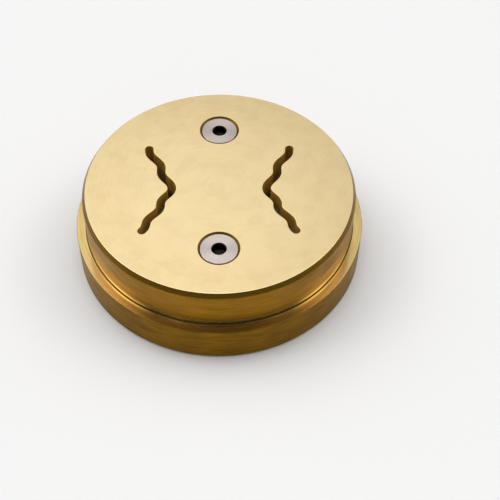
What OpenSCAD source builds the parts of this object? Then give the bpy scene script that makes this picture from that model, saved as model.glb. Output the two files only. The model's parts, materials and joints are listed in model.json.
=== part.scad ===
// Pasta extrusion die with two wavy slots, in millimetres.
// A turned body carries the slotted land at its front. A feed plate is let into
// its back, and two countersunk socket screws hold that plate from the front.
// Z points out of the slotted face, and the back of the die lies on z = 0.

/* [Body] */
// Diameter of the rear flange
flange_d = 57; // [55:0.5:69]
// Height of the rear flange
flange_h = 7.8; // [6.4:0.1:9.4]
// Width of the shoulder between the flange and the front spigot
shoulder_w = 1.9; // [1.5:0.05:2.25]
// Overall height, from the back to the slotted face
body_h = 16.7; // [13.9:0.1:20.1]
// Radius of the fillet in the corner of the shoulder
corner_r = 0.2; // [0.1:0.05:0.6]
// Width of the chamfer round the slotted face
rim_w = 0.6; // [0.4:0.05:0.8]
// Height of the chamfer round the slotted face
rim_h = 0.9; // [0.6:0.05:1.1]
// Broken edge at the top of the flange
shoulder_break = 0.05; // [0.05:0.05:0.3]
// Broken edge round the back of the flange
back_break = 0.4; // [0.2:0.05:0.6]

/* [Slots] */
// Width of each slot
slot_w = 1.65; // [1.35:0.05:2]
// Distance of each slot's bend from the middle of the die
slot_bend_x = 9.2; // [7.7:0.05:10.5]
// Sideways run of an arm for each millimetre of its reach, before its bow
slot_slope = 0.36; // [0.3:0.01:0.43]
// Reach of an arm, from the bend to the centre of its round end
slot_reach = 10.7; // [8.9:0.05:11.3]
// Offset of the slots' bends from the line through the middle
slot_shift = -0.55; // [-0.8:0.05:0.6]
// Length of one wave along the rear arm
rear_wave_l = 5.55; // [4.65:0.05:6.7]
// Length of one wave along the front arm
front_wave_l = 4.8; // [4:0.05:5.8]
// Outward bow of the rear arm, for each square millimetre of its reach
rear_bow = 0.007; // [0.005:0.001:0.009]
// Outward bow of the front arm, for each square millimetre of its reach
front_bow = 0.013; // [0.01:0.001:0.016]
// Phase of the waves where they leave the bend, in degrees
wave_phase = 38; // [31:1:46]
// Thickness of the slotted land
land_h = 4; // [3:0.1:5]

/* [Feed plate] */
// Wall between the recess of the feed plate and the outside of the spigot
recess_wall = 4.65; // [3.85:0.05:5.55]
// Thickness of the feed plate
plate_h = 5; // [4:0.1:6]
// Gap between the plate and the wall of its recess
plate_gap = 0.1; // [0.05:0.01:0.2]
// Broken edge round the plate and the mouth of its recess
plate_break = 0.4; // [0.2:0.05:0.6]
// Room between a slot and the wall of the feed passage behind it
passage_margin = 1.5; // [1.2:0.05:1.8]
// Chamfer round the mouth of each window, where the dough comes in
window_break = 0.5; // [0.3:0.05:0.7]
// Chamfer at both mouths of the tapped holes
tap_break = 0.3; // [0.2:0.05:0.4]

/* [Screws] */
// Distance of each screw from the middle of the die
screw_y = 15.5; // [14.4:0.1:16.4]
// Diameter of the screw shank
thread_d = 4; // [3.3:0.1:4.8]
// Depth of the screw's tip inside the back
tip_recess = 0.55; // [0.3:0.05:1.5]
// Diameter of the screw head
head_d = 7.2; // [6:0.1:8.7]
// Broken edge round the top of the head
head_break = 0.1; // [0.05:0.05:0.25]
// Depth of the head below the slotted face
head_recess = 0.2; // [0.05:0.05:0.3]
// Width of the hexagon socket across its flats
socket_af = 2.5; // [2:0.1:3]
// Depth of the hexagon socket
socket_h = 1.8; // [1.4:0.1:2.1]
// Depth of the chamfer at the mouth of the socket
socket_chamfer = 0.2; // [0.1:0.05:0.3]
// Chamfer at the tip of the screw
tip_chamfer = 0.5; // [0.3:0.05:0.7]
// Gap between the cone of the head and its seat
seat_gap = 0.05; // [0.02:0.01:0.1]
// Gap round the shank in the die body
hole_gap = 0.2; // [0.1:0.05:0.4]
// Gap round the shank in the feed plate
thread_gap = 0.05; // [0.02:0.01:0.1]

/* [Hidden] */

$fn = 96;
cut = 0.5;
arc_steps = 8;
arm_steps = 32;
cap_steps = 12;
brass = [0.83, 0.69, 0.42];
steel = [0.76, 0.75, 0.76];

flange_r = flange_d / 2;
spigot_r = flange_r - shoulder_w;
recess_r = spigot_r - recess_wall;
plate_r = recess_r - plate_gap;
land_z = body_h - land_h;

// Run of the arm that spreads more, taken up to a full tenth of a millimetre
slot_run = ceil(10 * max(arm_run(slot_reach, 1), arm_run(slot_reach, -1))) / 10;
passage_w = slot_run + slot_w + 2 * passage_margin;
passage_l = 2 * slot_reach + slot_w + 2 * passage_margin;
passage_x = slot_bend_x + slot_run / 2;
passage_span = passage_l - passage_w;

head_r = head_d / 2;
shank_r = thread_d / 2;
tap_r = shank_r + thread_gap;
hole_r = shank_r + hole_gap;
head_z = body_h - head_recess;
cone_z = head_z - head_break;
seat_r = head_r + body_h - cone_z + seat_gap * sqrt(2);
socket_r = socket_af / sqrt(3);
drill_h = socket_af / 2 / tan(60);

// Length of one wave along the rear (+1) or front (-1) arm
function wave_l(arm) = arm > 0 ? rear_wave_l : front_wave_l;

// Bow of the rear (+1) or front (-1) arm
function bow(arm) = arm > 0 ? rear_bow : front_bow;

// Angle of an arm's wave at a given reach
function wave_angle(reach, arm) = 360 * reach / wave_l(arm) + wave_phase;

// Sideways run of an arm's centre line at a given reach. The wave lies on a bowed
// line, and its depth makes the two arms meet square to the line between them.
function arm_run(reach, arm) =
    let (depth = slot_slope * wave_l(arm) / (2 * PI * cos(wave_phase)))
    slot_slope * reach + bow(arm) * reach * reach
        - depth * (sin(wave_angle(reach, arm)) - sin(wave_phase));

// Sideways slope of an arm's centre line at a given reach
function arm_slope(reach, arm) =
    slot_slope + 2 * bow(arm) * reach
        - slot_slope * cos(wave_angle(reach, arm)) / cos(wave_phase);

// Point at a given step along the slot, moved half a slot width to one side
function slot_edge(step, side) =
    let (
        y = slot_reach * step / arm_steps,
        arm = y < 0 ? -1 : 1,
        slope = arm * arm_slope(abs(y), arm),
        half = side * slot_w / 2 / sqrt(1 + slope * slope)
    )
    [slot_bend_x + arm_run(abs(y), arm) + half, y - half * slope];

// Points of the round end about the tip of the rear (+1) or front (-1) arm
function slot_cap(arm) =
    let (
        heading = arm * atan2(1, arm_slope(slot_reach, arm)),
        tip = [slot_bend_x + arm_run(slot_reach, arm), arm * slot_reach]
    )
    [for (i = [1 : cap_steps - 1])
        let (a = heading - 90 + 180 * i / cap_steps)
        tip + slot_w / 2 * [cos(a), sin(a)]];

// Points of a fillet arc between two angles about a centre
function arc(centre, r, from, to) =
    [for (i = [0 : arc_steps])
        let (a = from + (to - from) * i / arc_steps)
        centre + r * [cos(a), sin(a)]];

// Plan of one slot
module slot_plan() {
    polygon(concat(
        [for (i = [-arm_steps : arm_steps]) slot_edge(i, 1)],
        slot_cap(1),
        [for (i = [arm_steps : -1 : -arm_steps]) slot_edge(i, -1)],
        slot_cap(-1)
    ));
}

// Plan of the round-ended feed passage behind one slot
module passage_plan() {
    translate([passage_x, 0]) {
        square([passage_w, passage_span], center = true);
        for (y = [-passage_span / 2, passage_span / 2])
            translate([0, y])
                circle(d = passage_w);
    }
}

// Sloping mouth of one window: a cone at each end and a ridge between them
module window_mouth() {
    wide = passage_w / 2 + window_break + cut;
    narrow = passage_w / 2 - cut;
    depth = window_break + 2 * cut;
    translate([passage_x, 0, -cut]) {
        rotate([90, 0, 0])
            linear_extrude(passage_span, center = true)
                polygon([[-wide, 0], [wide, 0], [narrow, depth], [-narrow, depth]]);
        for (y = [-passage_span / 2, passage_span / 2])
            translate([0, y, 0])
                cylinder(r1 = wide, r2 = narrow, h = depth);
    }
}

// Tapped hole for one screw, chamfered at both mouths
module tapped_hole() {
    wide = tap_r + tap_break + cut;
    narrow = tap_r - cut;
    depth = tap_break + 2 * cut;
    translate([0, 0, -cut]) {
        cylinder(r = tap_r, h = plate_h + 2 * cut);
        cylinder(r1 = wide, r2 = narrow, h = depth);
    }
    translate([0, 0, plate_h + cut - depth])
        cylinder(r1 = narrow, r2 = wide, h = depth);
}

// Places a shape at both slots, each the mirror image of the other
module at_slots() {
    for (side = [0, 1])
        mirror([side, 0, 0])
            translate([0, slot_shift, 0])
                children();
}

// Places a shape at both screws
module at_screws() {
    for (y = [-screw_y, screw_y])
        translate([0, y, 0])
            children();
}

// Turned outside of the body
module body_blank() {
    rotate_extrude()
        polygon(concat(
            [[0, 0],
             [flange_r - back_break, 0],
             [flange_r, back_break],
             [flange_r, flange_h - shoulder_break],
             [flange_r - shoulder_break, flange_h]],
            arc([spigot_r + corner_r, flange_h + corner_r], corner_r, 270, 180),
            [[spigot_r, body_h - rim_h],
             [spigot_r - rim_w, body_h],
             [0, body_h]]
        ));
}

// Recess for the feed plate, with a broken edge at its mouth
module plate_recess() {
    rotate_extrude()
        polygon([
            [0, -cut],
            [recess_r + plate_break + cut, -cut],
            [recess_r, plate_break],
            [recess_r, plate_h],
            [0, plate_h]
        ]);
}

// Clearance hole and countersink for one screw
module screw_seat() {
    cylinder(r = hole_r, h = body_h + cut);
    translate([0, 0, body_h - seat_r])
        cylinder(r1 = 0, r2 = seat_r + cut, h = seat_r + cut);
}

module die_body() {
    color(brass)
        difference() {
            body_blank();
            plate_recess();
            at_slots() {
                translate([0, 0, plate_h - cut])
                    linear_extrude(land_z - plate_h + cut)
                        passage_plan();
                translate([0, 0, land_z - cut])
                    linear_extrude(land_h + 2 * cut)
                        slot_plan();
            }
            at_screws() screw_seat();
        }
}

module feed_plate() {
    color(brass)
        difference() {
            rotate_extrude()
                polygon([
                    [0, 0],
                    [plate_r - plate_break, 0],
                    [plate_r, plate_break],
                    [plate_r, plate_h - plate_break],
                    [plate_r - plate_break, plate_h],
                    [0, plate_h]
                ]);
            at_slots() {
                translate([0, 0, -cut])
                    linear_extrude(plate_h + 2 * cut)
                        passage_plan();
                window_mouth();
            }
            at_screws() tapped_hole();
        }
}

// One countersunk screw, its head flat just below the slotted face
module socket_screw() {
    difference() {
        rotate_extrude()
            polygon([
                [0, tip_recess],
                [shank_r - tip_chamfer, tip_recess],
                [shank_r, tip_recess + tip_chamfer],
                [shank_r, cone_z - head_r + shank_r],
                [head_r, cone_z],
                [head_r - head_break, head_z],
                [0, head_z]
            ]);
        translate([0, 0, head_z - socket_h])
            cylinder(r = socket_r, h = socket_h + cut, $fn = 6);
        translate([0, 0, head_z - socket_h - drill_h])
            cylinder(r1 = 0, r2 = socket_af / 2, h = drill_h);
        translate([0, 0, head_z - socket_chamfer])
            cylinder(r1 = socket_r - socket_chamfer, r2 = socket_r + cut, h = socket_chamfer + cut);
    }
}

module socket_screws() {
    color(steel)
        at_screws() socket_screw();
}

die_body();
feed_plate();
socket_screws();
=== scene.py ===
"""Looks of a brass pasta extrusion die: a turned body, a feed plate and two socket screws.

Every surface is worked out as whole arrays. Turned shapes are a profile carried round an axis,
slots and passages are an outline carried down through the metal, and flat faces fill what lies
between their outlines. Lengths are millimetres in the frame of the CAD part, and the meshes are
written in metres.
"""

import json
import logging
import math
from dataclasses import dataclass, field, replace
from enum import Enum
from typing import Any, Callable, ClassVar, NamedTuple, Sequence

import bpy
import numpy as np
from mathutils import Matrix, Vector
from mathutils.geometry import delaunay_2d_cdt


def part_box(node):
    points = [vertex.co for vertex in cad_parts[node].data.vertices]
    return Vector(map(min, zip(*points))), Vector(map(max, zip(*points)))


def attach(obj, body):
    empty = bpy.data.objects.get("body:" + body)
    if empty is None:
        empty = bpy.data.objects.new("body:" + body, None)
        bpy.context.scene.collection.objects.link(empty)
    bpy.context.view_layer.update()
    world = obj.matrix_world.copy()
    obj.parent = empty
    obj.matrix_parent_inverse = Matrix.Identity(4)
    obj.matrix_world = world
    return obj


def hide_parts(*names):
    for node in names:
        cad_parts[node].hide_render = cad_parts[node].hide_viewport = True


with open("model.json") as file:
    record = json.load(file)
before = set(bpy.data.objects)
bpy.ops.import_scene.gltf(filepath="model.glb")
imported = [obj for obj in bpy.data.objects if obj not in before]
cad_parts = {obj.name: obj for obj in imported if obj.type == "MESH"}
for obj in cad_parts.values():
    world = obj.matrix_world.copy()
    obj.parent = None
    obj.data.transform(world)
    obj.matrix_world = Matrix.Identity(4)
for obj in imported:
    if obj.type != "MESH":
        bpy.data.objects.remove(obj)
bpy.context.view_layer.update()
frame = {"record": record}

LOG = logging.getLogger("die_looks")

MM = 0.001
TAU = 2.0 * math.pi
IMAGE_PX = 500
SENSOR_MM = 36.0
# Width of the flat strip beside a rounded edge, which keeps the shading there even
HOLD_MM = 0.12
# Points whose heights differ by less than this lie in one plane
LEVEL_MM = 1e-3
# Points closer than this are one point where a flat face is filled
MEET_MM = 1e-9

Rgb = tuple[float, float, float]


class Side(Enum):
    """Which of the two mirrored slots an outline belongs to."""

    RIGHT = 1
    LEFT = -1

    def placed(self, loop: np.ndarray) -> np.ndarray:
        """Mirrors an outline if it lies on the left, and keeps it counter-clockwise."""
        return loop if self is Side.RIGHT else loop[::-1] * [-1.0, 1.0]


class Zone(Enum):
    """Parts of a piece that were machined differently or carry painted shade, in the order of
    its material slots.
    """

    FACE = 0
    WALL = 1
    SLOT = 2
    INSIDE = 3
    SHOULDER = 4
    SEAT = 5
    FLANGE = 6
    RIM = 7
    CORNER = 8


class Lay(Enum):
    """Way across the tool marks of a turned surface, along which its gloss is drawn out."""

    RADIAL = "across the rings of a faced surface"
    UPRIGHT = "across the rings round a wall"


class Ramp(NamedTuple):
    """A smooth step from one value to another, over a range of what it depends on.

    Attributes:
        low: Where the range begins.
        high: Where the range ends.
        start: Value before the range.
        end: Value past the range.
    """

    low: float
    high: float
    start: float
    end: float


@dataclass(frozen=True)
class DieSizes:
    """Driving sizes of the die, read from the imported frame.

    Attributes:
        flange_r: Radius of the rear flange.
        flange_h: Height of the shoulder on top of the flange.
        spigot_r: Radius of the front spigot.
        height: Height of the slotted face.
        plate_r: Radius of the feed plate.
        plate_h: Thickness of the feed plate.
        screw_y: Distance of each screw from the middle.
        head_r: Radius of a screw head.
        head_z: Height of the flat of a screw head.
        tip_z: Height of the tip of a screw.
    """

    flange_r: float
    flange_h: float
    spigot_r: float
    height: float
    plate_r: float
    plate_h: float
    screw_y: float
    head_r: float
    head_z: float
    tip_z: float

    @classmethod
    def from_frame(cls, record: dict[str, Any]) -> "DieSizes":
        """Reads the sizes from the nodes' boxes and the record's mounts.

        Args:
            record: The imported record.

        Returns:
            The sizes in millimetres.
        """
        mounts = {mount["name"]: mount for mount in record["mounts"]}
        body_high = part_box("die_body")[1] / MM
        plate_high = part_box("feed_plate")[1] / MM
        screw_low, screw_high = (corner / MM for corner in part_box("socket_screws"))
        return cls(
            flange_r=body_high.y,
            flange_h=mounts["shoulder"]["pos_m"][2] / MM,
            spigot_r=mounts["spigot"]["dims"]["r_mm"],
            height=body_high.z,
            plate_r=plate_high.y,
            plate_h=plate_high.z,
            screw_y=screw_high.y - screw_high.x,
            head_r=screw_high.x,
            head_z=screw_high.z,
            tip_z=screw_low.z,
        )


def rounded_path(
    corners: Sequence[tuple[float, float]],
    radii: Sequence[float],
    steps: int = 5,
    hold: float = HOLD_MM,
) -> np.ndarray:
    """Turns a path of straight lines into one with round corners.

    A corner of radius r between directions u and v becomes the arc
    start + u r sin(a) + n r (1 - cos(a)), with n square to u on the inner side and a running
    up to the angle between u and v. Each straight line longer than three holds gets a point
    near either end, which keeps its shading flat.

    Args:
        corners: Points of the path.
        radii: One radius for each point but the first and last.
        steps: Steps of each arc.
        hold: Distance of the extra points from the ends of a line.

    Returns:
        The points of the rounded path, as an array of pairs.
    """
    points = np.asarray(corners, float)
    runs = [points[:1]]
    for i, radius in enumerate(radii, start=1):
        u = points[i] - points[i - 1]
        v = points[i + 1] - points[i]
        u, v = u / np.hypot(*u), v / np.hypot(*v)
        turn = math.atan2(u[0] * v[1] - u[1] * v[0], float(u @ v))
        inner = np.array([-u[1], u[0]]) * math.copysign(1.0, turn)
        start = points[i] - u * radius * math.tan(abs(turn) / 2)
        a = abs(turn) * np.linspace(0.0, 1.0, steps + 1)[:, None]
        runs.append(start + u * radius * np.sin(a) + inner * radius * (1.0 - np.cos(a)))
    runs.append(points[-1:])
    path = [runs[0]]
    for before, after in zip(runs[:-1], runs[1:]):
        line = after[0] - before[-1]
        length = float(np.hypot(*line))
        if length > 3.0 * hold:
            step = line / length * hold
            path.append(np.array([before[-1] + step, after[0] - step]))
        path.append(after)
    return np.concatenate(path)


def angles(steps: int) -> np.ndarray:
    """Angles that divide a full turn into equal steps."""
    return TAU * np.arange(steps) / steps


def spun(
    r: np.ndarray, z: np.ndarray, steps: int, centre: tuple[float, float] = (0.0, 0.0)
) -> np.ndarray:
    """Lays radii and heights round an upright axis.

    A point lies at the centre + r (cos(a), sin(a)), where a is the angle of its column.

    Args:
        r: Radii, one for each row, or one for each angle of each row.
        z: Heights, given in the same way.
        steps: Steps round the axis.
        centre: Place of the axis.

    Returns:
        A grid of points, one column for each angle.
    """
    angle = angles(steps)
    x = centre[0] + r * np.cos(angle)
    y = centre[1] + r * np.sin(angle)
    return np.stack(np.broadcast_arrays(x, y, z), axis=-1)


def turned(
    path: np.ndarray, steps: int, centre: tuple[float, float] = (0.0, 0.0)
) -> np.ndarray:
    """Carries a profile of radius and height once round an upright axis."""
    return spun(path[:, :1], path[:, 1:], steps, centre)


def raised(plan: np.ndarray, z: float) -> np.ndarray:
    """Puts points of the plane at one height."""
    return np.column_stack([plan, np.full(len(plan), z)])


def carried(path: np.ndarray, outline: Callable[[float], np.ndarray]) -> np.ndarray:
    """Carries a profile of growth and height round an outline.

    Args:
        path: Outward growth of the outline and its height, for each row.
        outline: Gives the outline's points for a growth, the same number each time.

    Returns:
        A grid of points, one row for each point of the profile.
    """
    return np.stack([raised(outline(float(grow)), z) for grow, z in path])


def zones_below(path: np.ndarray, top: float, above: Zone, below: Zone) -> np.ndarray:
    """Numbers the bands of a profile, one zone in the plane of a face and another below it."""
    middle = (path[1:, 1] + path[:-1, 1]) / 2
    return np.where(middle > top - LEVEL_MM, above.value, below.value)


def inside(points: np.ndarray, loop: np.ndarray) -> np.ndarray:
    """Tells which points lie within an outline, by counting the edges to the right of each.

    Args:
        points: Points in the plane.
        loop: Corners of the closed outline.

    Returns:
        One truth value for each point.
    """
    a, b = loop, np.roll(loop, -1, axis=0)
    x, y = points[:, :1], points[:, 1:]
    spans = (a[:, 1] > y) != (b[:, 1] > y)
    rise = np.where(a[:, 1] == b[:, 1], 1.0, b[:, 1] - a[:, 1])
    meet = a[:, 0] + (y - a[:, 1]) * (b[:, 0] - a[:, 0]) / rise
    return (spans & (x < meet)).sum(axis=1) % 2 == 1


def filled(outer: np.ndarray, holes: Sequence[np.ndarray]) -> tuple[np.ndarray, np.ndarray]:
    """Fills the flat region inside one outline and outside the others.

    Args:
        outer: Outline of the region.
        holes: Outlines of the openings in it.

    Returns:
        The outlines' points, and triangles that turn counter-clockwise.
    """
    loops = [outer, *holes]
    points = np.concatenate(loops)
    ends = np.cumsum([len(loop) for loop in loops])
    rings = [np.arange(end - len(loop), end) for loop, end in zip(loops, ends)]
    edges = np.concatenate([np.column_stack([ring, np.roll(ring, -1)]) for ring in rings])
    made = delaunay_2d_cdt([Vector(p) for p in points], edges.tolist(), [], 0, MEET_MM)
    source = np.array([origin[0] for origin in made[3]])
    triangles = source[np.array(made[2])]
    middle = points[triangles].mean(axis=1)
    keep = inside(middle, outer)
    for hole in holes:
        keep &= ~inside(middle, hole)
    return points, triangles[keep]


def linked(name: str, data: bpy.types.ID) -> bpy.types.Object:
    """Makes an object and links it to the scene.

    Args:
        name: Name of the object.
        data: Its mesh, lamp or camera.

    Returns:
        The object, at the origin.
    """
    made = bpy.data.objects.new(name, data)
    bpy.context.scene.collection.objects.link(made)
    return made


class Patchwork:
    """Gathers patches of surface and stitches them into one closed mesh."""

    MERGE_MM = 1e-5

    def __init__(self) -> None:
        """Starts with no patches."""
        self._points: list[np.ndarray] = []
        self._faces: list[np.ndarray] = []
        self._zones: list[np.ndarray] = []
        self._count = 0

    def _add(self, points: np.ndarray, faces: np.ndarray, zone: Zone | np.ndarray) -> None:
        """Keeps one patch.

        Args:
            points: Points of the patch.
            faces: Its faces, numbered from its own first point.
            zone: One zone, or an array with a zone number for each face.
        """
        values = np.asarray(zone.value if isinstance(zone, Zone) else zone)
        self._points.append(points.reshape(-1, 3))
        self._faces.append(faces + self._count)
        self._zones.append(np.broadcast_to(values, len(faces)))
        self._count += len(self._points[-1])

    def ring(
        self, grid: np.ndarray, zone: Zone | np.ndarray
    ) -> tuple[np.ndarray, np.ndarray]:
        """Adds a grid whose rows are closed rings.

        A face looks the way that its ring's direction crossed with the next row points.

        Args:
            grid: Rows of points.
            zone: One zone, or an array with a zone number for each band between two rows.

        Returns:
            The first and the last row, seen from above.
        """
        rows, columns = grid.shape[:2]
        here = np.arange(rows * columns).reshape(rows, columns)
        there = np.roll(here, -1, axis=1)
        quads = np.stack([here[:-1], there[:-1], there[1:], here[1:]], axis=-1).reshape(-1, 4)
        self._add(grid, quads, zone if isinstance(zone, Zone) else np.repeat(zone, columns))
        return grid[0, :, :2], grid[-1, :, :2]

    def cap(self, ring: np.ndarray, tip: Sequence[float], zone: Zone, first: bool) -> None:
        """Closes a ring with triangles to one point.

        Args:
            ring: Points of the ring.
            tip: The point that they meet in.
            zone: Zone of the triangles.
            first: True where the point comes before the ring in the order of the rows.
        """
        n = len(ring)
        here = np.arange(n)
        there = np.roll(here, -1)
        order = [np.full(n, n), there, here] if first else [here, there, np.full(n, n)]
        self._add(np.vstack([ring, tip]), np.column_stack(order), zone)

    def flat(
        self, outer: np.ndarray, holes: Sequence[np.ndarray], z: float, zone: Zone, up: bool
    ) -> None:
        """Adds a level face between outlines.

        Args:
            outer: Outline of the face.
            holes: Outlines of the openings in it.
            z: Height of the face.
            zone: Zone of the face.
            up: True for a face that looks up.
        """
        points, triangles = filled(outer, holes)
        self._add(raised(points, z), triangles if up else triangles[:, ::-1], zone)

    def build(self, name: str, crease_deg: float = 40.0) -> bpy.types.Object:
        """Merges points that coincide and makes the object.

        Args:
            name: Name of the piece.
            crease_deg: Edges that bend by more than this stay sharp.

        Returns:
            The object, at the origin, in metres.
        """
        points = np.concatenate(self._points)
        keys = np.round(points / self.MERGE_MM).astype(np.int64)
        _, first, merged = np.unique(keys, axis=0, return_index=True, return_inverse=True)
        merged = merged.reshape(-1)
        faces = [corners for patch in self._faces for corners in merged[patch].tolist()]
        mesh = bpy.data.meshes.new(name)
        mesh.from_pydata(points[first] * MM, [], faces)
        mesh.polygons.foreach_set("material_index", np.concatenate(self._zones).astype(np.int32))
        mesh.polygons.foreach_set("use_smooth", np.ones(len(faces), bool))
        mesh.set_sharp_from_angle(angle=math.radians(crease_deg))
        mesh.update()
        piece = linked(name, mesh)
        LOG.info("%s: %d points, %d faces", name, len(mesh.vertices), len(mesh.polygons))
        return piece


@dataclass(frozen=True)
class SlotShape:
    """Outline of a wavy slot with two arms that meet in a bend.

    Attributes:
        width: Width of the slot.
        bend_x: Distance of the bend from the middle of the die.
        slope: Sideways run of an arm for each millimetre of its reach, before its bow.
        reach: Reach of an arm, from the bend to the centre of its round end.
        shift: Offset of the slot along Y.
        wave_l: Length of one wave along the rear and the front arm.
        bow: Outward bow of the rear and the front arm, for each square millimetre of reach.
        phase: Phase of the waves where they leave the bend, in radians.
        arm_steps: Steps along an arm.
        cap_steps: Steps round an end.
    """

    width: float = 1.65
    bend_x: float = 9.2
    slope: float = 0.36
    reach: float = 10.7
    shift: float = -0.55
    wave_l: tuple[float, float] = (5.55, 4.8)
    bow: tuple[float, float] = (0.007, 0.013)
    phase: float = math.radians(38.0)
    arm_steps: int = 72
    cap_steps: int = 16

    def centre_line(self, y: np.ndarray) -> tuple[np.ndarray, np.ndarray]:
        """Works out the centre line at given places along Y.

        An arm lies at slope s + bow s^2 - d (sin(2 pi s / wave_l + phase) - sin(phase)) from the
        bend, where s is its reach and d = slope wave_l / (2 pi cos(phase)), so that both arms
        leave the bend square to the mirror line.

        Args:
            y: Places along the slot, from its bend, the rear arm on the positive side.

        Returns:
            The distance from the middle of the die, and its slope along Y.
        """
        s = np.abs(y)
        wave_l = np.where(y < 0.0, self.wave_l[1], self.wave_l[0])
        bow = np.where(y < 0.0, self.bow[1], self.bow[0])
        angle = TAU * s / wave_l + self.phase
        depth = self.slope * wave_l / (TAU * math.cos(self.phase))
        x = self.bend_x + self.slope * s + bow * s * s
        x -= depth * (np.sin(angle) - math.sin(self.phase))
        lean = self.slope + 2.0 * bow * s - self.slope * np.cos(angle) / math.cos(self.phase)
        return x, lean * np.sign(y)

    @property
    def run(self) -> float:
        """Run of the arm that spreads more, taken up to a full tenth of a millimetre."""
        x, _ = self.centre_line(np.array([-self.reach, self.reach]))
        return math.ceil(10.0 * (float(x.max()) - self.bend_x)) / 10.0

    def outline(self, grow: float, side: Side) -> np.ndarray:
        """Works out the outline, grown all round.

        Each edge lies half the width from the centre line, and the ends are half circles.

        Args:
            grow: Distance that the outline moves outwards.
            side: Which of the two slots.

        Returns:
            Points of the outline, counter-clockwise.
        """
        y = np.linspace(-self.reach, self.reach, 2 * self.arm_steps + 1)
        x, lean = self.centre_line(y)
        radius = self.width / 2 + grow
        half = radius / np.sqrt(1.0 + lean * lean)
        outer = np.column_stack([x + half, y - half * lean])
        inner = np.column_stack([x - half, y + half * lean])[::-1]
        sweep = math.pi * (np.arange(1, self.cap_steps) / self.cap_steps - 0.5)
        ends = []
        for tip, arm in ((-1, 1.0), (0, -1.0)):
            a = math.atan2(arm, arm * lean[tip]) + sweep
            centre = np.array([x[tip], y[tip]])
            ends.append(centre + radius * np.column_stack([np.cos(a), np.sin(a)]))
        loop = np.concatenate([outer, ends[0], inner, ends[1]])
        loop[:, 1] += self.shift
        return side.placed(loop)


@dataclass(frozen=True)
class PassageShape:
    """Round-ended feed passage behind one slot.

    Attributes:
        slot: The slot that it feeds.
        margin: Room between the slot and the wall of the passage.
        steps: Steps round each end.
    """

    slot: SlotShape
    margin: float = 1.5
    steps: int = 40

    def outline(self, grow: float, side: Side) -> np.ndarray:
        """Works out the outline, two half circles joined by straight sides.

        Args:
            grow: Distance that the outline moves outwards.
            side: Which of the two passages.

        Returns:
            Points of the outline, counter-clockwise.
        """
        run = self.slot.run
        width = run + self.slot.width + 2 * self.margin
        length = 2 * self.slot.reach + self.slot.width + 2 * self.margin
        a = math.pi * np.arange(self.steps + 1) / self.steps
        end = (width / 2 + grow) * np.column_stack([np.cos(a), np.sin(a)])
        end[:, 1] += (length - width) / 2
        loop = np.concatenate([end, -end])
        loop += [self.slot.bend_x + run / 2, self.slot.shift]
        return side.placed(loop)


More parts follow.
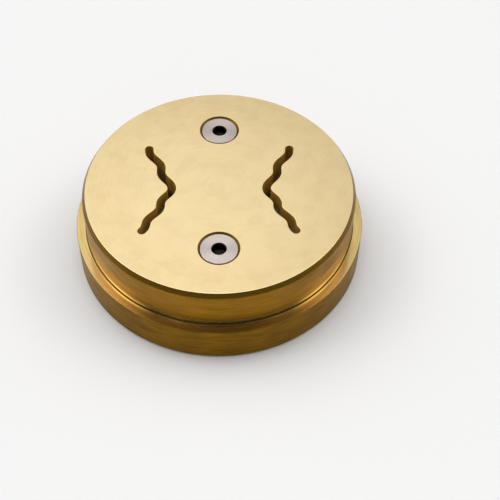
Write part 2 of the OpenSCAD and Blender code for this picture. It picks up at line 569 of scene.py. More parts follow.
@dataclass
class TurnedBody:
    """The turned brass body with its slotted land, feed passages and countersinks.

    Attributes:
        sizes: Sizes of the die.
        slot: Shape of a slot.
        passage: Shape of a feed passage.
        rim_w: Width of the chamfer round the slotted face.
        rim_h: Height of that chamfer.
        corner_r: Fillet in the corner of the shoulder.
        shoulder_break: Broken edge at the top of the flange.
        back_break: Broken edge round the back.
        edge_r: Radius of the outer edges after deburring, halved or doubled on some.
        slot_edge_r: Radius of the slots' and countersinks' edges on the face.
        land_h: Thickness of the slotted land.
        plate_gap: Gap round the feed plate.
        plate_break: Broken edge at the mouth of the plate's recess.
        hole_r: Radius of the clearance holes for the screws.
        seat_r: Radius of the countersinks on the face.
        segments: Steps round the axis.
    """

    sizes: DieSizes
    slot: SlotShape
    passage: PassageShape
    rim_w: float = 0.6
    rim_h: float = 0.9
    corner_r: float = 0.2
    shoulder_break: float = 0.05
    back_break: float = 0.4
    edge_r: float = 0.12
    slot_edge_r: float = 0.06
    land_h: float = 4.0
    plate_gap: float = 0.1
    plate_break: float = 0.4
    hole_r: float = 2.2
    seat_r: float = 3.97
    segments: int = 288

    def outside(self) -> np.ndarray:
        """Works out the profile from the recess in the back, up the outside, onto the face.

        Returns:
            Radius and height of each point, the last one four rim widths in from the wall.
        """
        s = self.sizes
        recess_r = s.plate_r + self.plate_gap
        corners = [
            (recess_r, s.plate_h),
            (recess_r, self.plate_break),
            (recess_r + self.plate_break, 0.0),
            (s.flange_r - self.back_break, 0.0),
            (s.flange_r, self.back_break),
            (s.flange_r, s.flange_h - self.shoulder_break),
            (s.flange_r - self.shoulder_break, s.flange_h),
            (s.spigot_r, s.flange_h),
            (s.spigot_r, s.height - self.rim_h),
            (s.spigot_r - self.rim_w, s.height),
            (s.spigot_r - 4 * self.rim_w, s.height),
        ]
        edge = self.edge_r
        back, shoulder, rim = [edge] * 3 + [2 * edge], [edge / 2] * 2, [2 * edge, edge / 2]
        return rounded_path(corners, [*back, *shoulder, self.corner_r, *rim])

    def outside_zones(self, path: np.ndarray) -> np.ndarray:
        """Sorts the bands of the outside into zones, by where their middles lie.

        Args:
            path: Profile of the outside.

        Returns:
            A zone number for each band.
        """
        s = self.sizes
        middle = (path[1:] + path[:-1]) / 2
        recess = middle[:, 0] < s.plate_r + self.plate_gap + self.plate_break
        back = middle[:, 1] < self.back_break / 4
        face = (middle[:, 1] > s.height - self.edge_r / 2) & ~back
        ledge = (np.abs(middle[:, 1] - s.flange_h) < LEVEL_MM) & (middle[:, 0] > s.spigot_r)
        zones = np.full(len(middle), Zone.WALL.value)
        zones[middle[:, 1] < s.flange_h] = Zone.FLANGE.value
        zones[ledge] = Zone.SHOULDER.value
        # Painted shade: the fillet in the shoulder's corner gets its own near-black finish.
        rise = middle - [s.spigot_r, s.flange_h]
        corner = ((rise > LEVEL_MM) & (rise < self.corner_r)).all(axis=1)
        zones[corner] = Zone.CORNER.value
        zones[back | (recess & ~face)] = Zone.INSIDE.value
        zones[middle[:, 1] > s.height - self.rim_h - self.edge_r] = Zone.RIM.value
        zones[face] = Zone.FACE.value
        return zones

    def countersink(self) -> np.ndarray:
        """Works out the profile from the face, down the countersink, to the back of a hole.

        Returns:
            Radius and height of each point.
        """
        s = self.sizes
        corners = [
            (self.seat_r + 4 * self.edge_r, s.height),
            (self.seat_r, s.height),
            (self.hole_r, s.height - self.seat_r + self.hole_r),
            (self.hole_r, s.plate_h),
        ]
        return rounded_path(corners, [self.slot_edge_r, self.edge_r])

    def slot_edge(self) -> np.ndarray:
        """Works out the profile from the face, round a slot's edge, to the back of the land.

        Returns:
            Growth of the slot's outline and height, for each point.
        """
        top = self.sizes.height
        corners = [(2 * HOLD_MM, top), (0.0, top), (0.0, top - self.land_h)]
        return rounded_path(corners, [self.slot_edge_r])

    def build(self) -> bpy.types.Object:
        """Makes the body as one closed mesh.

        Returns:
            The object that stands for the CAD node.
        """
        s = self.sizes
        work = Patchwork()
        path, sink, edge = self.outside(), self.countersink(), self.slot_edge()
        floor, face = work.ring(turned(path, self.segments), self.outside_zones(path))
        face_holes, floor_holes = [], []
        for y in (s.screw_y, -s.screw_y):
            hole = turned(sink, self.segments // 3, (0.0, y))
            top, bottom = work.ring(hole, zones_below(sink, s.height, Zone.FACE, Zone.SEAT))
            face_holes.append(top)
            floor_holes.append(bottom)
        land_z = s.height - self.land_h
        drop = np.array([[0.0, land_z], [0.0, s.plate_h]])
        for side in Side:
            wall = carried(edge, lambda grow: self.slot.outline(grow, side))
            top, bottom = work.ring(wall, zones_below(edge, s.height, Zone.FACE, Zone.SLOT))
            face_holes.append(top)
            passage = carried(drop, lambda grow: self.passage.outline(grow, side))
            work.flat(passage[0, :, :2], [bottom], land_z, Zone.INSIDE, up=False)
            floor_holes.append(work.ring(passage, Zone.INSIDE)[1])
        work.flat(face, face_holes, s.height, Zone.FACE, up=True)
        work.flat(floor, floor_holes, s.plate_h, Zone.INSIDE, up=False)
        return work.build("turned_body")

    def dress(self, piece: bpy.types.Object) -> None:
        """Gives the body one finish for each of its zones."""
        clad(piece, "die_body", [BODY_FINISHES[zone] for zone in Zone])


@dataclass(frozen=True)
class Thread:
    """Metric thread, as a radius that depends on angle and height.

    Attributes:
        major_r: Radius of the crests.
        depth: Depth of the thread.
        pitch: Rise of one turn.
        steep: Rise of the flanks' wave, before it is clipped to the thread's depth.
        sunk: How far that wave lies below the root, which leaves the root flat.
    """

    major_r: float = 2.0
    depth: float = 0.38
    pitch: float = 0.7
    steep: float = 1.6
    sunk: float = 0.2

    def radius(self, angle: np.ndarray, z: np.ndarray) -> np.ndarray:
        """Radius of the thread, a clipped triangle wave of the height less the lead.

        Args:
            angle: Angles round the axis.
            z: Heights along it.

        Returns:
            The radius at each angle and height.
        """
        phase = np.mod(z / self.pitch - angle / TAU, 1.0)
        ramp = np.clip(self.steep * np.abs(2.0 * phase - 1.0) - self.sunk, 0.0, 1.0)
        return self.major_r - self.depth * (1.0 - ramp)


@dataclass
class FeedPlate:
    """The brass plate in the back, with a window behind each slot and two tapped holes.

    Attributes:
        sizes: Sizes of the die.
        passage: Shape of a window.
        thread: Thread of the tapped holes.
        gap: Gap between the screws' thread and the plate's.
        edge_break: Broken edge round the plate.
        edge_r: Radius of its edges after deburring.
        tap_break: Chamfer at the mouths of the tapped holes.
        window_break: Chamfer round the mouths of the windows.
        segments: Steps round the plate.
        tap_steps: Steps round a tapped hole.
        tap_rows: Steps down a tapped hole.
    """

    sizes: DieSizes
    passage: PassageShape
    thread: Thread
    gap: float = 0.05
    edge_break: float = 0.4
    edge_r: float = 0.12
    tap_break: float = 0.3
    window_break: float = 0.5
    segments: int = 240
    tap_steps: int = 60
    tap_rows: int = 72

    def outside(self) -> np.ndarray:
        """Works out the profile of the rim, from the back face to the front face.

        Returns:
            Radius and height of each point.
        """
        s, b = self.sizes, self.edge_break
        corners = [
            (s.plate_r - 3 * b, 0.0),
            (s.plate_r - b, 0.0),
            (s.plate_r, b),
            (s.plate_r, s.plate_h - b),
            (s.plate_r - b, s.plate_h),
            (s.plate_r - 3 * b, s.plate_h),
        ]
        return rounded_path(corners, [self.edge_r] * 4)

    def tapped_hole(self, y: float) -> np.ndarray:
        """Works out the wall of a tapped hole, from the front to the back.

        The radius is the thread's, or the chamfer's where that is larger, and the first and
        last rows are plain circles.

        Args:
            y: Place of the hole along Y.

        Returns:
            A grid of points, one row for each height.
        """
        s = self.sizes
        z = np.linspace(s.plate_h, 0.0, self.tap_rows + 1)[:, None]
        near = np.minimum(z, s.plate_h - z)
        mouth_r = self.thread.major_r + self.gap + self.tap_break
        thread_r = self.thread.radius(angles(self.tap_steps), z) + self.gap
        return spun(np.maximum(thread_r, mouth_r - near), z, self.tap_steps, (0.0, y))

    def window(self) -> np.ndarray:
        """Works out the profile down the wall of a window, to its chamfered mouth on the back.

        Returns:
            Growth of the window's outline and height, for each point.
        """
        top, b = self.sizes.plate_h, self.window_break
        strip = 2 * self.edge_r
        corners = [(strip, top), (0.0, top), (0.0, b), (b, 0.0), (b + strip, 0.0)]
        return rounded_path(corners, [self.edge_r] * 3)

    def build(self) -> bpy.types.Object:
        """Makes the plate as one closed mesh.

        Returns:
            The object that stands for the CAD node.
        """
        s = self.sizes
        work = Patchwork()
        back, front = work.ring(turned(self.outside(), self.segments), Zone.FACE)
        walls = [self.tapped_hole(y) for y in (s.screw_y, -s.screw_y)]
        for side in Side:
            walls.append(carried(self.window(), lambda grow: self.passage.outline(grow, side)))
        front_holes, back_holes = zip(*(work.ring(wall, Zone.FACE) for wall in walls))
        work.flat(front, front_holes, s.plate_h, Zone.FACE, up=True)
        work.flat(back, back_holes, 0.0, Zone.FACE, up=False)
        return work.build("milled_plate")

    def dress(self, piece: bpy.types.Object) -> None:
        """Gives the plate its one finish."""
        clad(piece, "feed_plate", [INNER_BRASS])


@dataclass
class SocketScrew:
    """One countersunk screw with a hexagon socket and a cut thread.

    Attributes:
        sizes: Sizes of the die.
        thread: Thread of the shank.
        name: Name of the piece.
        y: Place of its axis along Y.
        edge: Broken edge round the head.
        edge_r: Radius of the head's edges.
        socket_af: Width of the socket across its flats.
        socket_h: Depth of the socket.
        mouth: How far the socket's chamfer reaches past its corners.
        drill_deg: Half the angle of the point that the drill left in the socket.
        tip_chamfer: Chamfer at the tip.
        neck: Plain length between the thread and the head.
        head_hold: Width of the flat strips beside the head's edges.
        socket_hold: Height of the flat strips at the socket's mouth and floor.
        turn_rows: Rows of points for each turn of the thread.
        segments: Steps round the axis, a multiple of six.
    """

    sizes: DieSizes
    thread: Thread
    name: str
    y: float
    edge: float = 0.1
    edge_r: float = 0.05
    socket_af: float = 2.5
    socket_h: float = 1.8
    mouth: float = 0.03
    drill_deg: float = 60.0
    tip_chamfer: float = 0.5
    neck: float = 0.6
    head_hold: float = 0.08
    socket_hold: float = 0.06
    turn_rows: int = 10
    segments: int = 96

    @property
    def neck_z(self) -> float:
        """Height at which the cone of the head meets the shank."""
        s = self.sizes
        return s.head_z - self.edge - s.head_r + self.thread.major_r

    @property
    def mouth_r(self) -> float:
        """Radius of the socket's mouth."""
        return self.socket_af / math.sqrt(3.0) + self.mouth

    def _spun(self, r: np.ndarray, z: np.ndarray) -> np.ndarray:
        """Lays radii and heights round the screw's axis."""
        return spun(r, z, self.segments, (0.0, self.y))

    def shank(self) -> np.ndarray:
        """Works out the threaded shank, from the flat of the tip up to the plain neck.

        The radius is the thread's, held under the tip's chamfer and faded into the neck.

        Returns:
            A grid of points, one row for each height.
        """
        tip, top, major_r = self.sizes.tip_z, self.neck_z, self.thread.major_r
        rows = int((top - tip) / self.thread.pitch * self.turn_rows)
        z = np.linspace(tip, top, rows + 1)[:, None]
        run_out = np.clip((z - top + 2 * self.neck) / self.neck, 0.0, 1.0)
        r = self.thread.radius(angles(self.segments), z)
        r = r + (major_r - r) * run_out
        return self._spun(np.minimum(r, major_r - self.tip_chamfer + z - tip), z)

    def head(self) -> np.ndarray:
        """Works out the cone of the head and its flat, up to the mouth of the socket.

        Returns:
            A grid of points, one row for each point of the profile.
        """
        s = self.sizes
        corners = [
            (self.thread.major_r, self.neck_z),
            (s.head_r, s.head_z - self.edge),
            (s.head_r - self.edge, s.head_z),
            (self.mouth_r, s.head_z),
        ]
        path = rounded_path(corners, [self.edge_r, self.edge_r], hold=self.head_hold)
        return self._spun(path[:, :1], path[:, 1:])

    def socket(self) -> np.ndarray:
        """Works out the wall of the socket, from its mouth down to its floor.

        A hexagon's radius at an angle is its half width over the cosine of the angle from the
        nearest flat's middle. The mouth is a cone at 45 degrees, so it meets the hexagon as far
        below the face as the hexagon lies inside the mouth's circle.

        Returns:
            A grid of points, one row for each edge and each strip beside one.
        """
        head_z, hold = self.sizes.head_z, self.socket_hold
        off_flat = np.mod(angles(self.segments), TAU / 6) - TAU / 12
        hexagon = self.socket_af / 2 / np.cos(off_flat)
        meet = head_z - (self.mouth_r - hexagon)
        floor = np.full_like(hexagon, head_z - self.socket_h)
        r = np.stack([np.full_like(hexagon, self.mouth_r)] + [hexagon] * 4)
        z = np.stack([np.full_like(meet, head_z), meet, meet - hold, floor + hold, floor])
        return self._spun(r, z)

    def build(self) -> bpy.types.Object:
        """Makes the screw as one closed mesh.

        Returns:
            The object that stands for its solid of the CAD node.
        """
        s = self.sizes
        work = Patchwork()
        shank, socket = self.shank(), self.socket()
        point_h = self.socket_af / 2 / math.tan(math.radians(self.drill_deg))
        work.cap(shank[0], (0.0, self.y, s.tip_z), Zone.WALL, first=True)
        work.ring(shank, Zone.WALL)
        work.ring(self.head(), Zone.FACE)
        work.ring(socket, Zone.SLOT)
        point = (0.0, self.y, s.head_z - self.socket_h - point_h)
        work.cap(socket[-1], point, Zone.SLOT, first=False)
        return work.build(self.name)

    def dress(self, piece: bpy.types.Object) -> None:
        """Gives the screw its steel, and a near-black finish in its socket as painted shade."""
        finish = steel(f"{self.name}_steel", self.y)
        clad(piece, "socket_screws", [finish, finish, SOCKET_SHADED_STEEL])


class NodeSheet:
    """Small helper that lays out the nodes of one material or world."""

    GRAIN = {"Detail": 4.0, "Roughness": 0.55}

    def __init__(self, tree: bpy.types.NodeTree) -> None:
        """Starts on an empty tree."""
        tree.nodes.clear()
        self.tree = tree

    @classmethod
    def material(cls, name: str) -> tuple[bpy.types.Material, "NodeSheet"]:
        """Makes a material.

        Args:
            name: Name of the material.

        Returns:
            The material, and the empty sheet for its nodes.
        """
        made = bpy.data.materials.new(name)
        made.use_nodes = True
        return made, cls(made.node_tree)

    def add(
        self, kind: str, inputs: dict[Any, Any] | None = None, **settings: Any
    ) -> bpy.types.Node:
        """Adds a node.

        Args:
            kind: The node's type, without its ShaderNode prefix.
            inputs: Values or output sockets for its inputs, by name or number.
            settings: Properties of the node.

        Returns:
            The new node.
        """
        node = self.tree.nodes.new("ShaderNode" + kind)
        for name, value in settings.items():
            setattr(node, name, value)
        for name, value in (inputs or {}).items():
            if isinstance(value, bpy.types.NodeSocket):
                self.tree.links.new(value, node.inputs[name])
            else:
                node.inputs[name].default_value = value
        return node

    def math(self, operation: str, *values: Any) -> bpy.types.NodeSocket:
        """Adds a Math node and returns its output."""
        return self.add("Math", dict(enumerate(values)), operation=operation).outputs[0]

    def vector(self, operation: str, *values: Any) -> bpy.types.NodeSocket:
        """Adds a Vector Math node and returns its output, a number for a length."""
        node = self.add("VectorMath", dict(enumerate(values)), operation=operation)
        return node.outputs["Value" if operation == "LENGTH" else "Vector"]

    def ramp(self, value: Any, step: Ramp) -> bpy.types.NodeSocket:
        """Puts a value through a smooth step and returns the result."""
        inputs = dict(enumerate((value, *step)))
        return self.add("MapRange", inputs, interpolation_type="SMOOTHSTEP").outputs[0]

    def noise(
        self, size_mm: float, noise_dimensions: str = "3D", **place: Any
    ) -> bpy.types.NodeSocket:
        """Adds noise whose grains are of the given size, at the given place, and returns it."""
        inputs = {**self.GRAIN, **place, "Scale": 1.0 / (size_mm * MM)}
        return self.add("TexNoise", inputs, noise_dimensions=noise_dimensions).outputs[0]

    def blend(self, factor: Any, a: Any, b: Any) -> bpy.types.NodeSocket:
        """Mixes two colours and returns the mix."""
        node = self.add("Mix", {0: factor, 6: a, 7: b}, data_type="RGBA")
        return node.outputs[2]


def opaque(colour: Rgb) -> tuple[float, float, float, float]:
    """Gives a colour the fourth value that sockets take."""
    return (*colour, 1.0)


@dataclass(frozen=True)
class TurnedMetal:
    """Metal that was turned about an upright axis, so that its tool marks run round it.

    Attributes:
        name: Name of the material.
        colour: Colour of the metal, darkened as painted shade in some finishes.
        dull: Colour where it has dulled.
        roughness: Mean roughness.
        spread: How far the marks move the roughness up and down.
        anisotropy: How far the gloss is drawn out across the marks.
        lay: Way across the marks.
        ring_mm: Spacing of the fine rings that the tool left.
        ring_depth_mm: Depth of those rings.
        streak_mm: Width of the broken streaks between the rings.
        streak_l_mm: Length of the streaks.
        streak_dull: Share of the dull colour in the streaks.
        patch_mm: Size of the soft patches.
        patch_dull: Share of the dull colour in the patches.
        axis_mm: Place of the axis of turning, in X and Y.
        painted_foot_light: Lighter colour low on the surface, painted light that brightens its
            foot and what mirrors it.
        calm: Share of the roughness that is left there.
        calm_z_mm: Heights between which the surface passes to its usual colour and roughness.
        grazing: Tint of the gloss at a grazing angle.
        edge_dull: Share of the dull colour that is added towards the edge.
        edge_r_mm: Radii between which that share grows.
    """

    name: str
    colour: Rgb
    dull: Rgb
    roughness: float
    spread: float = 0.03
    anisotropy: float = 0.3
    lay: Lay = Lay.RADIAL
    ring_mm: float = 0.18
    ring_depth_mm: float = 0.001
    streak_mm: float = 0.5
    streak_l_mm: float = 6.0
    streak_dull: float = 0.2
    patch_mm: float = 7.0
    patch_dull: float = 0.2
    axis_mm: tuple[float, float] = (0.0, 0.0)
    painted_foot_light: Rgb | None = None
    calm: float = 1.0
    calm_z_mm: tuple[float, float] = (0.0, 1.0)
    grazing: Rgb = (1.0, 1.0, 1.0)
    edge_dull: float = 0.0
    edge_r_mm: tuple[float, float] = (0.0, 1.0)

    # Ranges of the noise over which the dull colour and the roughness grow
    DULL_NOISE: ClassVar[tuple[float, float]] = (0.35, 0.75)
    ROUGH_NOISE: ClassVar[tuple[float, float]] = (0.3, 0.7)

    def material(self) -> bpy.types.Material:
        """Makes the material.

        Rings are noise along one line, radius plus height, so that they run round faces and
        walls alike. Streaks are noise in that line and, much stretched, in X and Y, so that
        they follow the rings and break off. Patches are plain noise in space.

        Returns:
            The node material.
        """
        made, sheet = NodeSheet.material(self.name)
        place = sheet.add("TexCoord").outputs["Object"]
        arm = sheet.vector("SUBTRACT", place, (*(p * MM for p in self.axis_mm), 0.0))
        level = sheet.vector("MULTIPLY", arm, (1.0, 1.0, 0.0))
        radius = sheet.vector("LENGTH", level)
        height = sheet.add("SeparateXYZ", {0: arm}).outputs[2]
        line = sheet.math("ADD", radius, height)
        rings = sheet.noise(self.ring_mm, W=line, noise_dimensions="1D")
        squeeze = self.streak_mm / self.streak_l_mm
        along = sheet.vector("MULTIPLY", level, (squeeze, squeeze, 0.0))
        across = sheet.add("CombineXYZ", {2: line}).outputs[0]
        streaks = sheet.noise(self.streak_mm, Vector=sheet.vector("ADD", along, across))
        patches = sheet.noise(self.patch_mm, Vector=place)
        share = sheet.math(
            "ADD",
            sheet.ramp(streaks, Ramp(*self.DULL_NOISE, 0.0, self.streak_dull)),
            sheet.ramp(patches, Ramp(*self.DULL_NOISE, 0.0, self.patch_dull)),
        )
        if self.edge_dull:
            inner, outer = (r * MM for r in self.edge_r_mm)
            edge = sheet.ramp(radius, Ramp(inner, outer, 0.0, self.edge_dull))
            share = sheet.math("ADD", share, edge)
        colour = sheet.blend(share, opaque(self.colour), opaque(self.dull))
        low, high = self.roughness - self.spread, self.roughness + self.spread
        rough = sheet.ramp(streaks, Ramp(*self.ROUGH_NOISE, low, high))
        # Painted light: a lighter colour low on the surface fades out upwards, brightening the
        # foot of the wall and the shoulder that mirrors it; the roughness is lowered there as
        # well.
        if self.painted_foot_light:
            bottom, top = (z * MM for z in self.calm_z_mm)
            calm = sheet.ramp(height, Ramp(bottom, top, self.calm, 1.0))
            rough = sheet.math("MULTIPLY", rough, calm)
            past_foot_light = sheet.ramp(height, Ramp(bottom, top, 0.0, 1.0))
            colour = sheet.blend(past_foot_light, opaque(self.painted_foot_light), colour)
        bump = sheet.add(
            "Bump", {"Height": rings, "Distance": self.ring_depth_mm * MM, "Strength": 1.0}
        )
        metal = {
            "Base Color": colour,
            "Metallic": 1.0,
            "Roughness": rough,
            "Anisotropic": self.anisotropy,
            "Specular Tint": opaque(self.grazing),
            "Normal": bump.outputs[0],
        }
        if self.lay is Lay.RADIAL:
            metal["Tangent"] = sheet.vector("NORMALIZE", level)
        else:
            metal["Tangent"] = sheet.add("CombineXYZ", {2: 1.0}).outputs[0]
        shader = sheet.add("BsdfPrincipled", metal)
        sheet.add("OutputMaterial", {"Surface": shader.outputs[0]})
        return made


@dataclass(frozen=True)
class PhotoCamera:
    """Camera that stands where the photograph was taken from.

    Attributes:
        azimuth_deg: Turn of the camera about the die's axis.
        elevation_deg: Height of the camera above the table, as an angle.
        distance_mm: Distance from the middle of the die's back.
        focal_px: Focal length in pixels of the picture.
        base_px: Pixel in which the middle of the die's back lies.
        roll_deg: Roll of the camera.
        near_m: Distance from which on the camera sees.
    """

    azimuth_deg: float = 0.9
    elevation_deg: float = 50.45
    distance_mm: float = 215.9
    focal_px: float = 1044.5
    base_px: tuple[float, float] = (220.3, 240.4)
    roll_deg: float = -0.95
    near_m: float = 0.01

    def place(self) -> bpy.types.Object:
        """Makes the camera and points it so that the die's base falls on its pixel.

        Returns:
            The camera object, set as the scene's camera.
        """
        azimuth, elevation = math.radians(self.azimuth_deg), math.radians(self.elevation_deg)
        level = Vector((math.sin(azimuth), -math.cos(azimuth), 0.0))
        back = level * math.cos(elevation) + Vector((0.0, 0.0, math.sin(elevation)))
        right = Vector((-level.y, level.x, 0.0))
        up = back.cross(right)
        aside = (self.base_px[0] - IMAGE_PX / 2) / self.focal_px
        below = (self.base_px[1] - IMAGE_PX / 2) / self.focal_px
        ahead = (-back - right * aside + up * below).normalized()
        right = ahead.cross(up).normalized()
        up = right.cross(ahead)
        roll = math.radians(self.roll_deg)
        right, up = (
            right * math.cos(roll) + up * math.sin(roll),
            up * math.cos(roll) - right * math.sin(roll),
        )
        data = bpy.data.cameras.new("photo_camera")
        data.sensor_width = SENSOR_MM
        data.lens = self.focal_px / IMAGE_PX * SENSOR_MM
        data.clip_start = self.near_m
        camera = linked("photo_camera", data)
        turn = Matrix((right, up, -ahead)).transposed().to_4x4()
        camera.matrix_world = Matrix.Translation(back * self.distance_mm * MM) @ turn
        bpy.context.scene.camera = camera
        return camera


@dataclass(frozen=True)
class Softbox:
    """A square lamp that looks at the die.

    Attributes:
        name: Name of the lamp.
        azimuth_deg: Turn about the die's axis, from the back towards the left.
        elevation_deg: Angle above the table.
        distance_m: Distance from the die.
        size_m: Side of the lamp.
        watts: Power of the lamp.
    """

    name: str
    azimuth_deg: float
    elevation_deg: float
    distance_m: float
    size_m: float
    watts: float

    def place(self) -> bpy.types.Object:
        """Makes the lamp and turns it to the die.

        Returns:
            The lamp object.
        """
        data = bpy.data.lights.new(self.name, "AREA")
        data.shape = "SQUARE"
        data.size = self.size_m
        data.energy = self.watts
        azimuth, elevation = math.radians(self.azimuth_deg), math.radians(self.elevation_deg)
        level = Vector((-math.sin(azimuth), math.cos(azimuth), 0.0))
        away = level * math.cos(elevation) + Vector((0.0, 0.0, math.sin(elevation)))
        lamp = linked(self.name, data)
        lamp.location = away * self.distance_m
        lamp.rotation_mode = "QUATERNION"
        lamp.rotation_quaternion = away.to_track_quat("Z", "Y")
        return lamp


@dataclass(frozen=True)
class Sky:
    """Soft light of the room, by the direction that it comes from.

    The far side glows, most high up and towards the left, with a brighter patch high up on
    either hand. The camera's side is dim, and a pale band runs along the horizon. Each of these
    is a smooth step over the direction's height, its X, or its turn, which is Y over the length
    of its level part: -1 on the camera's side and 1 on the far side.

    Attributes:
        rise: Glow of the far side, over height.
        tilt: Share of that glow, over X.
        sides: Glow of the patches on either hand, over the size of X.
        sides_up: Share of the patches' glow, over height.
        far: Share of all this glow, over turn.
        bright: Strength of all this glow.
        dim: Light of the camera's side, over height.
        near: Share of that light, over turn.
        horizon: Light of the band along the horizon, over height.
        ends: Share of the band's light, over the size of X.
        pole: Least length of the level part, which turn is held to overhead.
    """

    rise: Ramp = Ramp(0.35, 0.79, 0.12, 1.12)
    tilt: Ramp = Ramp(-0.6, 0.6, 1.35, 0.65)
    sides: Ramp = Ramp(0.4, 0.65, 0.0, 3.3)
    sides_up: Ramp = Ramp(0.55, 0.75, 0.2, 1.0)
    far: Ramp = Ramp(-0.45, 0.05, 0.0, 1.0)
    bright: float = 0.84
    dim: Ramp = Ramp(0.57, 0.72, 0.3, 0.02)
    near: Ramp = Ramp(-0.45, 0.05, 1.0, 0.1)
    horizon: Ramp = Ramp(0.06, 0.14, 0.5, 0.0)
    ends: Ramp = Ramp(0.5, 0.85, 1.0, 0.8)
    pole: float = 0.01

    def light(self) -> None:
        """Makes the world, whose light is glow far bright + dim near + horizon ends."""
        world = bpy.data.worlds.new("studio")
        world.use_nodes = True
        bpy.context.scene.world = world
        sheet = NodeSheet(world.node_tree)
        way = sheet.add("SeparateXYZ", {0: sheet.add("TexCoord").outputs["Generated"]})
        x, y, z = way.outputs
        aside = sheet.math("ABSOLUTE", x)
        level = sheet.math("SQRT", sheet.math("SUBTRACT", 1.0, sheet.math("MULTIPLY", z, z)))
        turn = sheet.math("DIVIDE", y, sheet.math("MAXIMUM", level, self.pole))
        sides = sheet.math(
            "MULTIPLY", sheet.ramp(aside, self.sides), sheet.ramp(z, self.sides_up)
        )
        rise, tilt = sheet.ramp(z, self.rise), sheet.ramp(x, self.tilt)
        glow = sheet.math("MULTIPLY_ADD", rise, tilt, sides)
        glow = sheet.math("MULTIPLY", glow, sheet.ramp(turn, self.far))
        dim = sheet.math("MULTIPLY", sheet.ramp(z, self.dim), sheet.ramp(turn, self.near))
        horizon, ends = sheet.ramp(z, self.horizon), sheet.ramp(aside, self.ends)
        dim = sheet.math("MULTIPLY_ADD", horizon, ends, dim)
        power = sheet.math("MULTIPLY_ADD", glow, self.bright, dim)
        shade = sheet.add("Background", {"Color": opaque((1.0, 1.0, 1.0)), "Strength": power})
        sheet.add("OutputWorld", {"Surface": shade.outputs[0]})


@dataclass
class Studio:
    """Plain pale table, soft light and camera.

    Attributes:
        camera: The camera.
        sky: Light of the room.
        lamps: The lamps.
        table_m: Half the side of the table.
        table_z_mm: Height of the table, just under the die.
        table_colour: Colour of the table.
        table_roughness: Roughness of the table.
    """

    camera: PhotoCamera = field(default_factory=PhotoCamera)
    sky: Sky = field(default_factory=Sky)
    lamps: tuple[Softbox, ...] = (
        Softbox(
            "key_lamp",
            azimuth_deg=7.0,
            elevation_deg=87.0,
            distance_m=0.9,
            size_m=0.9,
            watts=3.1,
        ),
    )
    table_m: float = 3.0
    table_z_mm: float = -0.02
    table_colour: Rgb = (0.9, 0.896, 0.892)
    table_roughness: float = 0.7

    def table(self) -> bpy.types.Object:
        """Makes the table as a level sheet.

        Returns:
            The table.
        """
        h, z = self.table_m, self.table_z_mm * MM
        mesh = bpy.data.meshes.new("table")
        mesh.from_pydata([(-h, -h, z), (h, -h, z), (h, h, z), (-h, h, z)], [], [(0, 1, 2, 3)])
        made, sheet = NodeSheet.material("table_white")
        plain = {"Base Color": opaque(self.table_colour), "Roughness": self.table_roughness}
        shader = sheet.add("BsdfPrincipled", plain)
        sheet.add("OutputMaterial", {"Surface": shader.outputs[0]})
        mesh.materials.append(made)
        table = linked("table", mesh)
        return table

    def set_up(self) -> None:
        """Places the table, sky, lamps and camera."""
        self.table()
        self.sky.light()
        for lamp in self.lamps:
            lamp.place()
        self.camera.place()
        bpy.context.scene.view_settings.view_transform = "Standard"


def clad(
    piece: bpy.types.Object, node: str, finishes: Sequence[TurnedMetal]
) -> None:
    """Gives a piece its finishes and ties it to the frame.

    Args:
        piece: The new piece.
        node: CAD node that it stands for.
        finishes: One finish for each zone of the piece.
    """
    for finish in finishes:
        made = bpy.data.materials.get(finish.name) or finish.material()
        piece.data.materials.append(made)
    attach(piece, "root")
    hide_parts(node)
    LOG.info("%s stands for %s", piece.name, node)


FACED_BRASS = TurnedMetal(
    name="faced_brass",
    colour=(0.97, 0.77, 0.425),
    dull=(0.74, 0.555, 0.27),
    roughness=0.17,
    spread=0.02,
    anisotropy=0.15,
    streak_mm=0.25,
    streak_l_mm=4.0,
    streak_dull=0.13,
    patch_mm=3.5,
    patch_dull=0.24,
    edge_dull=0.25,
    edge_r_mm=(12.0, 25.0),
)
# Painted shade: the walls' very dark brass colour stands in for the dark surroundings that they
# mirror, and the lighter foot is painted light; the streaks and patches are tool marks.
WALL_SHADED_BRASS = TurnedMetal(
    name="turned_wall_painted_shade",
    colour=(0.325, 0.162, 0.007),
    dull=(0.185, 0.082, 0.002),
    roughness=0.36,
    spread=0.06,
    anisotropy=0.7,
    lay=Lay.UPRIGHT,
    ring_depth_mm=0.003,
    streak_mm=0.45,
    streak_dull=0.5,
    patch_dull=0.4,
    painted_foot_light=(0.68, 0.54, 0.26),
    calm=0.3,
    calm_z_mm=(7.9, 9.4),
)
# Painted shade: darker still than the walls, on the flange low by the table.
FLANGE_SHADED_BRASS = replace(
    WALL_SHADED_BRASS,
    name="flange_painted_shade",
    colour=(0.262, 0.131, 0.004),
    dull=(0.118, 0.054, 0.001),
    streak_mm=0.3,
    streak_l_mm=4.5,
    streak_dull=0.65,
    grazing=(1.0, 0.93, 0.8),
    painted_foot_light=None,
)
# Painted shade: a dark copy of the brass on the chamfer round the face.
RIM_SHADED_BRASS = TurnedMetal(
    name="rim_painted_shade",
    colour=(0.2, 0.109, 0.011),
    dull=(0.13, 0.066, 0.004),
    roughness=0.27,
    lay=Lay.UPRIGHT,
    streak_mm=0.3,
    streak_dull=0.5,
)
SHOULDER_BRASS = TurnedMetal(
    name="shoulder_brass",
    colour=(0.78, 0.575, 0.24),
    dull=(0.58, 0.395, 0.125),
    roughness=0.16,
    ring_depth_mm=0.002,
    streak_mm=0.3,
    streak_dull=0.5,
    patch_dull=0.3,
)
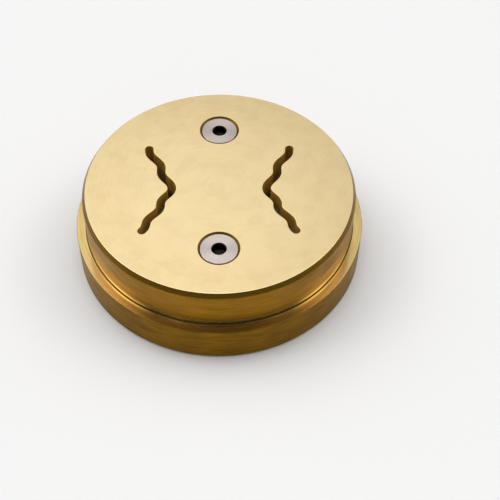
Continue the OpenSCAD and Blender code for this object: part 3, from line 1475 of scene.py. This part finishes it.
# Painted shade: near-black brass in the fillet at the shoulder's corner.
CORNER_SHADED_BRASS = TurnedMetal(
    name="corner_painted_shade",
    colour=(0.13, 0.073, 0.013),
    dull=(0.07, 0.037, 0.005),
    roughness=0.3,
    anisotropy=0.0,
    streak_mm=0.3,
    streak_dull=0.6,
)
# Painted shade: a dark copy of the brass in the countersinks round the screw heads.
SEAT_SHADED_BRASS = TurnedMetal(
    name="seat_painted_shade",
    colour=(0.24, 0.14, 0.02),
    dull=(0.13, 0.07, 0.008),
    roughness=0.4,
    anisotropy=0.0,
    streak_mm=0.3,
    streak_dull=0.5,
)
SLOT_BRASS = TurnedMetal(
    name="slot_brass",
    colour=(0.84, 0.62, 0.19),
    dull=(0.55, 0.37, 0.08),
    roughness=0.6,
    spread=0.05,
    anisotropy=0.0,
    lay=Lay.UPRIGHT,
    patch_mm=2.0,
    patch_dull=0.6,
)
INNER_BRASS = TurnedMetal(
    name="inner_brass",
    colour=(0.72, 0.53, 0.25),
    dull=(0.5, 0.34, 0.14),
    roughness=0.38,
    spread=0.06,
    ring_depth_mm=0.003,
)
# Painted shade: near black on the walls and floor of the hexagon sockets.
SOCKET_SHADED_STEEL = TurnedMetal(
    name="socket_painted_shade",
    colour=(0.03, 0.026, 0.023),
    dull=(0.015, 0.013, 0.012),
    roughness=0.5,
    anisotropy=0.0,
    lay=Lay.UPRIGHT,
)
BODY_FINISHES = {
    Zone.FACE: FACED_BRASS,
    Zone.WALL: WALL_SHADED_BRASS,
    Zone.SLOT: SLOT_BRASS,
    Zone.INSIDE: INNER_BRASS,
    Zone.SHOULDER: SHOULDER_BRASS,
    Zone.SEAT: SEAT_SHADED_BRASS,
    Zone.FLANGE: FLANGE_SHADED_BRASS,
    Zone.RIM: RIM_SHADED_BRASS,
    Zone.CORNER: CORNER_SHADED_BRASS,
}


def steel(name: str, y: float) -> TurnedMetal:
    """Makes the finish of one screw, turned about its own axis.

    Args:
        name: Name of the material.
        y: Place of the screw's axis along Y.

    Returns:
        The finish.
    """
    return TurnedMetal(
        name=name,
        colour=(0.595, 0.525, 0.48),
        dull=(0.42, 0.37, 0.335),
        roughness=0.3,
        spread=0.04,
        anisotropy=0.8,
        ring_mm=0.1,
        axis_mm=(0.0, y),
    )


def main() -> None:
    """Builds the die's pieces in order, then the studio."""
    logging.basicConfig(level=logging.INFO, format="%(name)s: %(message)s")
    sizes = DieSizes.from_frame(frame["record"])
    slot = SlotShape()
    passage = PassageShape(slot)
    thread = Thread()
    pieces = [
        TurnedBody(sizes, slot, passage),
        FeedPlate(sizes, passage, thread),
        SocketScrew(sizes, thread, "screw_rear", sizes.screw_y),
        SocketScrew(sizes, thread, "screw_front", -sizes.screw_y),
    ]
    for piece in pieces:
        piece.dress(piece.build())
    Studio().set_up()


if __name__ == "__main__":
    main()
